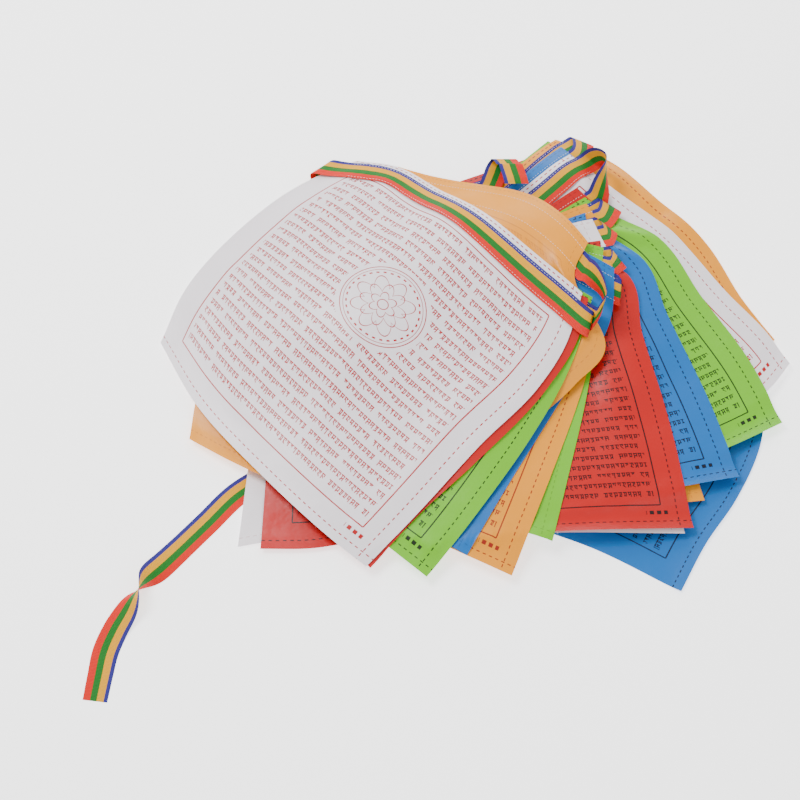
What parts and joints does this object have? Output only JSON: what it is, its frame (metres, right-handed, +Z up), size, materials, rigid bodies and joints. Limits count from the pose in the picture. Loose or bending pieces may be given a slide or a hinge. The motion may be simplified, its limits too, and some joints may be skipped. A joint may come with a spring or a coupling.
{
  "type": "string of prayer flags",
  "caption": "String of printed satin flags sewn along one striped woven tape, laid down in a fanned zigzag heap with one tape end free.",
  "frame": {"origin": "centre of the bounding box's bottom face, on the surface it lies on", "axes": "+Z up, +X to the right of the picture, -Y towards the viewer and the tape's free front end"},
  "size_m": [0.6825, 0.6139, 0.0847],
  "materials": {
    "blue_satin": "printed satin, mid blue",
    "white_satin": "printed satin, white",
    "red_satin": "printed satin, warm red",
    "green_satin": "printed satin, light green",
    "yellow_satin": "printed satin, orange yellow",
    "striped_tape": "ribbed woven tape in blue, yellow, green and red stripes"
  },
  "bodies": {
    "root": {"flag_01_blue": "blue_satin", "flag_02_white": "white_satin", "flag_03_red": "red_satin", "flag_04_green": "green_satin", "flag_05_yellow": "yellow_satin", "flag_06_blue": "blue_satin", "flag_07_white": "white_satin", "flag_08_red": "red_satin", "flag_09_green": "green_satin", "flag_10_yellow": "yellow_satin", "flag_11_blue": "blue_satin", "flag_12_white": "white_satin", "flag_13_red": "red_satin", "flag_14_green": "green_satin", "flag_15_yellow": "yellow_satin", "flag_16_blue": "blue_satin", "flag_17_white": "white_satin", "flag_18_red": "red_satin", "flag_19_green": "green_satin", "flag_20_yellow": "yellow_satin", "tape": "striped_tape"}
  },
  "joints": []
}
